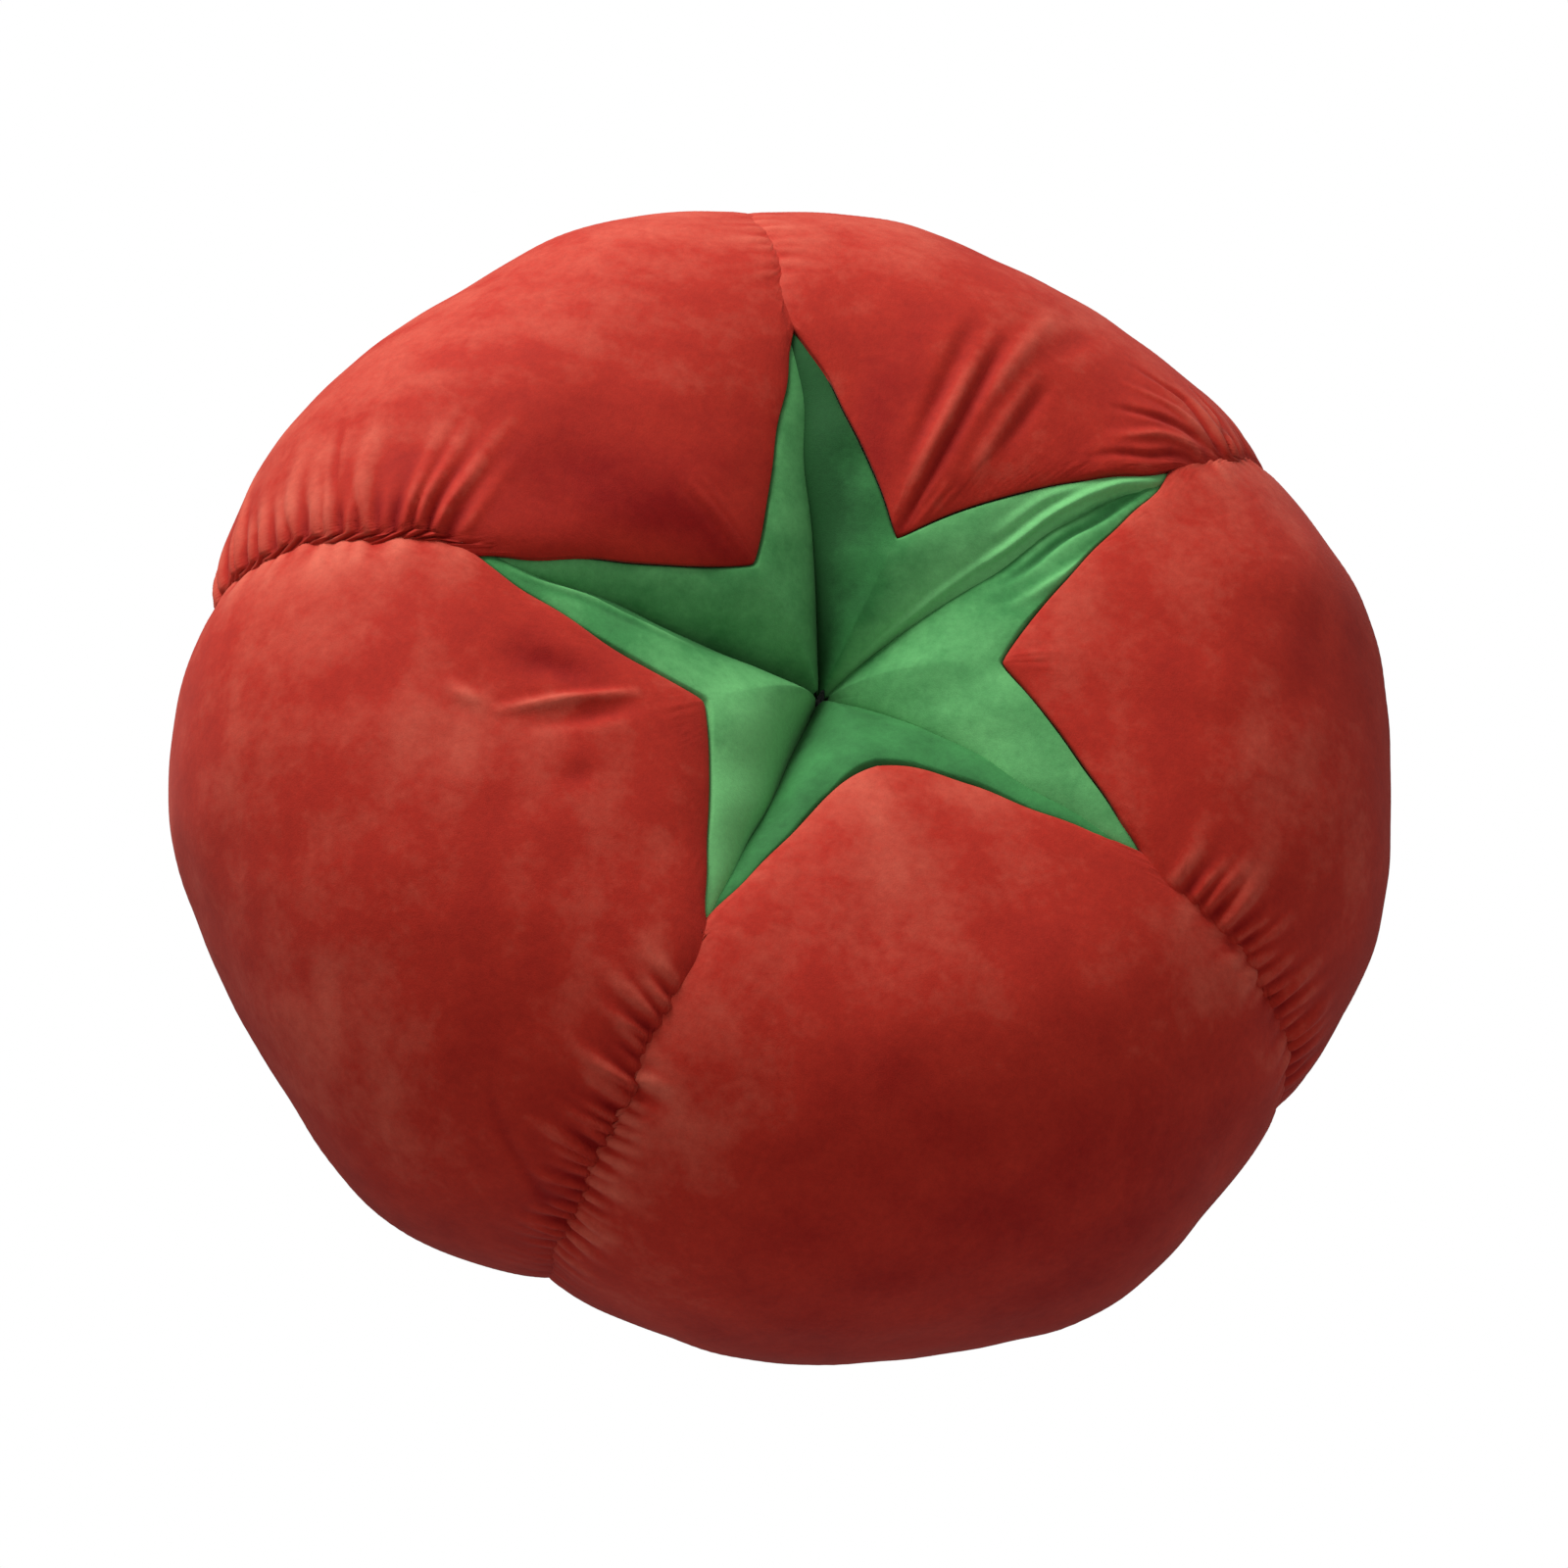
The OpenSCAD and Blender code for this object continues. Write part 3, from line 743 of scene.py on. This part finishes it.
def twisted_twine():
    """Three strands laid round each other, from a loop in the button's eye up to the crown."""
    strands, lay, strand_r = 3, 10, 0.72
    loop_r, loop_strand_r = 4.2, 0.9
    low, high = (corner.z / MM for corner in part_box("tuft_twine"))
    loop_h = low + loop_r + loop_strand_r
    top_of_loop = loop_h + loop_r
    z = np.arange(top_of_loop, high, 0.7)
    parts = []
    for k in range(strands):
        a = 2 * math.pi * (z / lay + k / strands)
        parts.append(tube(np.stack([0.78 * np.cos(a), 0.78 * np.sin(a), z], -1), strand_r))
    a = np.radians(np.arange(0, 360, 7.5))
    loop = np.stack([0 * a, loop_r * np.cos(a), loop_h + loop_r * np.sin(a)], -1)
    parts.append(tube(loop, loop_strand_r, is_loop=True))
    a = np.radians(np.arange(0, 900, 12))
    wraps = np.stack([2.1 * np.cos(a), 2.1 * np.sin(a), top_of_loop - 0.5 + 1.5 * a / (2 * math.pi)], -1)
    parts.append(tube(wraps, 0.75))
    return joined("twisted_twine", parts)


# ---- Materials ----
def node_tree(name):
    mat = bpy.data.materials.new(name)
    mat.use_nodes = True
    tree = mat.node_tree
    return mat, tree, tree.nodes["Principled BSDF"]


def add(tree, kind, inputs=(), **settings):
    """A shader node with its settings, its inputs given as values or as other nodes' outputs."""
    made = tree.nodes.new(kind)
    for key, value in settings.items():
        setattr(made, key, value)
    for key, value in dict(inputs).items():
        if isinstance(value, bpy.types.NodeSocket):
            tree.links.new(value, made.inputs[key])
        else:
            made.inputs[key].default_value = value
    return made


def maths(tree, operation, a, b, c=0.0):
    return add(tree, "ShaderNodeMath", {0: a, 1: b, 2: c}, operation=operation).outputs["Value"]


def noise(tree, where, scale, detail, roughness, distortion=0.0):
    inputs = {"Vector": where, "Scale": scale, "Detail": detail}
    inputs |= {"Roughness": roughness, "Distortion": distortion}
    return add(tree, "ShaderNodeTexNoise", inputs).outputs["Fac"]


def ramp(tree, source, stops):
    made = tree.nodes.new("ShaderNodeValToRGB")
    tree.links.new(source, made.inputs["Fac"])
    elements = made.color_ramp.elements
    while len(elements) < len(stops):
        elements.new(0.5)
    for element, (at, colour) in zip(elements, stops):
        element.position = at
        element.color = (*colour, 1)
    return made.outputs["Color"]


def finish_shader(tree, shader, colour, height, depth, strength, settings):
    """Links a colour and a relief to the shader and sets its plain values."""
    tree.links.new(colour, shader.inputs["Base Color"])
    bump = add(tree, "ShaderNodeBump", {"Height": height, "Strength": strength, "Distance": depth * MM})
    tree.links.new(bump.outputs["Normal"], shader.inputs["Normal"])
    for key, value in settings.items():
        shader.inputs[key].default_value = value


def velvet(name, dark, mid, light, reads_pile_and_light=True):
    """Short-pile velvet: soft lighter and darker patches, fine fibres and a faint sheen."""
    mat, tree, shader = node_tree(name)
    where = add(tree, "ShaderNodeTexCoord").outputs["Object"]
    cloud = noise(tree, where, 26, 3, 0.5, 0.3)
    brushed = noise(tree, where, 75, 3, 0.6, 0.5)
    mottle = noise(tree, where, 210, 3, 0.6)
    limits = {"Value": brushed, "From Min": 0.40, "From Max": 0.60}
    marks = add(tree, "ShaderNodeMapRange", limits, interpolation_type="SMOOTHSTEP").outputs["Result"]
    patches = maths(tree, "MULTIPLY_ADD", cloud, 0.12, -0.17)
    patches = maths(tree, "MULTIPLY_ADD", marks, 0.04, patches)
    patches = maths(tree, "MULTIPLY_ADD", mottle, 0.18, patches)
    if reads_pile_and_light:
        # Reads the pile's tone, which includes painted light and shade
        pile_light_value = add(tree, "ShaderNodeAttribute", attribute_name="pile_and_painted_light").outputs["Fac"]
        tone = maths(tree, "ADD", patches, pile_light_value)
    else:
        tone = maths(tree, "ADD", patches, 0.45)
    colour = ramp(tree, tone, [(0.2, dark), (0.5, mid), (0.85, light)])
    fibre = noise(tree, where, 2200, 2, 0.7)
    tuft = noise(tree, where, 520, 3, 0.6)
    pile = maths(tree, "MULTIPLY_ADD", maths(tree, "ADD", fibre, tuft), 0.5, 0.0)
    limits = {"Value": pile, "From Min": 0.3, "From Max": 0.7, "To Min": 0.86, "To Max": 1.12}
    shade = add(tree, "ShaderNodeMapRange", limits)
    final = add(tree, "ShaderNodeVectorMath", {0: colour, 1: shade.outputs["Result"]}, operation="MULTIPLY")
    settings = {
        "Roughness": 0.8,
        "Specular IOR Level": 0.18,
        "Sheen Weight": 0.15,
        "Sheen Roughness": 0.5,
        "Sheen Tint": (*[min(1, 0.2 + 1.3 * c) for c in light], 1),
    }
    finish_shader(tree, shader, final.outputs["Vector"], pile, 0.5, 0.3, settings)
    return mat


def plain(name, colour, roughness, grain, depth, metallic=0.0):
    """A simple material with a fine grain in its colour and relief."""
    mat, tree, shader = node_tree(name)
    where = add(tree, "ShaderNodeTexCoord").outputs["Object"]
    speck = noise(tree, where, grain, 3, 0.6)
    tone = ramp(tree, speck, [(0.3, [0.78 * c for c in colour]), (0.7, [min(1, 1.12 * c) for c in colour])])
    finish_shader(tree, shader, tone, speck, depth, 0.5, {"Roughness": roughness, "Metallic": metallic})
    return mat


def woven(name, colour, rib_scale):
    """Narrow woven elastic: ribs along and across it."""
    mat, tree, shader = node_tree(name)
    where = add(tree, "ShaderNodeTexCoord").outputs["Object"]
    ribs = []
    for way, scale in (("Z", rib_scale), ("X", 0.7 * rib_scale)):
        inputs = {"Vector": where, "Scale": scale, "Distortion": 1}
        wave = add(tree, "ShaderNodeTexWave", inputs, bands_direction=way)
        ribs.append(wave.outputs["Fac"])
    weave = maths(tree, "MULTIPLY", *ribs)
    tone = ramp(tree, weave, [(0.0, [0.7 * c for c in colour]), (0.6, colour)])
    finish_shader(tree, shader, tone, weave, 0.3, 0.6, {"Roughness": 0.75})
    return mat


# The light stop is paler and pinker: painted sheen where the pile faces the key light
RED_TONES = (0.26, 0.002, 0.001), (0.42, 0.019, 0.008), (0.60, 0.115, 0.070)
RED = velvet("red_velvet", *RED_TONES)
RED_BUTTON = velvet("red_velvet_button", *RED_TONES, reads_pile_and_light=False)
GREEN = velvet("green_velvet", (0.013, 0.085, 0.02), (0.043, 0.225, 0.06), (0.16, 0.50, 0.17))
WADDING = plain("wadding", (0.86, 0.86, 0.84), 0.95, 420, 1.5)
TWINE = plain("twine", (0.70, 0.62, 0.48), 0.9, 1500, 0.2)
GREEN_THREAD = plain("green_thread", (0.02, 0.10, 0.03), 0.7, 2500, 0.1)
RED_THREAD = plain("red_thread", (0.34, 0.03, 0.02), 0.7, 2500, 0.1)
ELASTIC = woven("elastic", (0.84, 0.83, 0.80), 420)
TINPLATE = plain("tinplate", (0.62, 0.62, 0.60), 0.35, 900, 0.02, 1.0)


# ---- Pieces ----
def dress(piece, material, slot_name, *nodes):
    """Gives a piece its material, and puts it in the place of CAD nodes."""
    piece.data.materials.append(material)
    piece.shadow_terminator_geometry_offset = 0.2
    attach(piece, "root")
    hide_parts(*nodes)
    return piece


fill = dress(filling(), WADDING, "filling", "fibre_filling")
dress(twisted_twine(), TWINE, "twine", "tuft_twine")
base = dress(base_velvet(), RED, "red_velvet", "base_panel")

gores = [panel_shape(i, False) for i in range(SECTORS)]
faces = stuffed([shape[0] for shape in gores])
for i, (outer, (_, pile_and_painted_light, f, t)) in enumerate(zip(faces, gores)):
    gore = panel_piece(f"gore_velvet_{i + 1}", outer, pile_and_painted_light, i, f, t)
    dress(gore, RED, "red_velvet", f"red_gore_{i + 1}")
for i in range(SECTORS):
    outer, pile_and_painted_light, f, t = panel_shape(i, True)
    leaf = panel_piece(f"leaf_velvet_{i + 1}", outer, pile_and_painted_light, i, f, t)
    dress(leaf, GREEN, "green_velvet", f"calyx_leaf_{i + 1}")

# CAD nodes that stay, with their materials
CARRIED_OVER = {
    "button_cap": RED_BUTTON,
    "button_back": TINPLATE,
    "crown_knot": GREEN_THREAD,
    "closing_stitches": RED_THREAD,
}
CARRIED_OVER |= {f"gather_elastic_{i + 1}": ELASTIC for i in range(SECTORS)}
for node, material in CARRIED_OVER.items():
    frame["nodes"][node].data.materials.clear()
    frame["nodes"][node].data.materials.append(material)


# ---- Stage, light and camera ----
def floor():
    """A white floor that takes no shadow, just below the cushion."""
    size, height = 40000, -1
    corners = np.array([(x * size, y * size, height) for x, y in ((-1, -1), (1, -1), (1, 1), (-1, 1))])
    piece = mesh_object("floor", corners, np.array([(0, 1, 2, 3)]))
    mat, _, shader = node_tree("floor")
    shader.inputs["Base Color"].default_value = (0, 0, 0, 1)
    shader.inputs["Emission Color"].default_value = (1, 1, 1, 1)
    shader.inputs["Emission Strength"].default_value = 1
    shader.inputs["Roughness"].default_value = 1
    shader.inputs["Specular IOR Level"].default_value = 0
    piece.data.materials.append(mat)
    piece.visible_diffuse = False
    piece.visible_glossy = False


def camera():
    """Looks down at the crown from the front, rolled so that the tomato leans to the right."""
    elevation, roll, distance = 60.0, 23.4, 1600
    frame_width, crown_right, crown_up = 505, 9.0, 21.8
    toward = np.array([0, -math.cos(math.radians(elevation)), math.sin(math.radians(elevation))])
    right, up = np.array([1.0, 0, 0]), np.cross(toward, [1.0, 0, 0])
    c, s = math.cos(math.radians(roll)), math.sin(math.radians(roll))
    view_x, view_y = c * right + s * up, c * up - s * right
    crown = np.array([0, 0, PIT_H])
    at = crown + distance * toward
    back = distance * toward + crown_right * view_x + crown_up * view_y
    back /= np.linalg.norm(back)
    x = np.cross(view_y, back)
    x /= np.linalg.norm(x)
    data = bpy.data.cameras.new("camera")
    data.sensor_width = 36
    data.lens = data.sensor_width * distance / frame_width
    data.clip_start, data.clip_end = 0.05, 50
    cam = bpy.data.objects.new("camera", data)
    bpy.context.scene.collection.objects.link(cam)
    turn = Matrix((x, np.cross(back, x), back)).transposed().to_4x4()
    cam.matrix_world = Matrix.Translation(Vector(at * MM)) @ turn
    bpy.context.scene.camera = cam


def area_light(name, place_mm, size, power):
    """A round soft light that faces the middle of the cushion."""
    data = bpy.data.lights.new(name, "AREA")
    data.shape = "DISK"
    data.size, data.energy = size * MM, power
    lamp = bpy.data.objects.new(name, data)
    bpy.context.scene.collection.objects.link(lamp)
    lamp.location = Vector(place_mm) * MM
    lamp.rotation_mode = "QUATERNION"
    aim = Vector((0, 0, 80)) * MM
    lamp.rotation_quaternion = (lamp.location - aim).to_track_quat("Z", "Y")


def world(strength):
    """An even white surrounding light, which gives no reflections."""
    made = bpy.data.worlds.new("studio")
    made.use_nodes = True
    made.node_tree.nodes["Background"].inputs["Color"].default_value = (1, 1, 1, 1)
    made.node_tree.nodes["Background"].inputs["Strength"].default_value = strength
    made.cycles_visibility.glossy = False
    bpy.context.scene.world = made


floor()
camera()
area_light("key", (-1350, 1070, 900), 1100, 46)
world(0.45)
bpy.context.scene.view_settings.view_transform = "Standard"
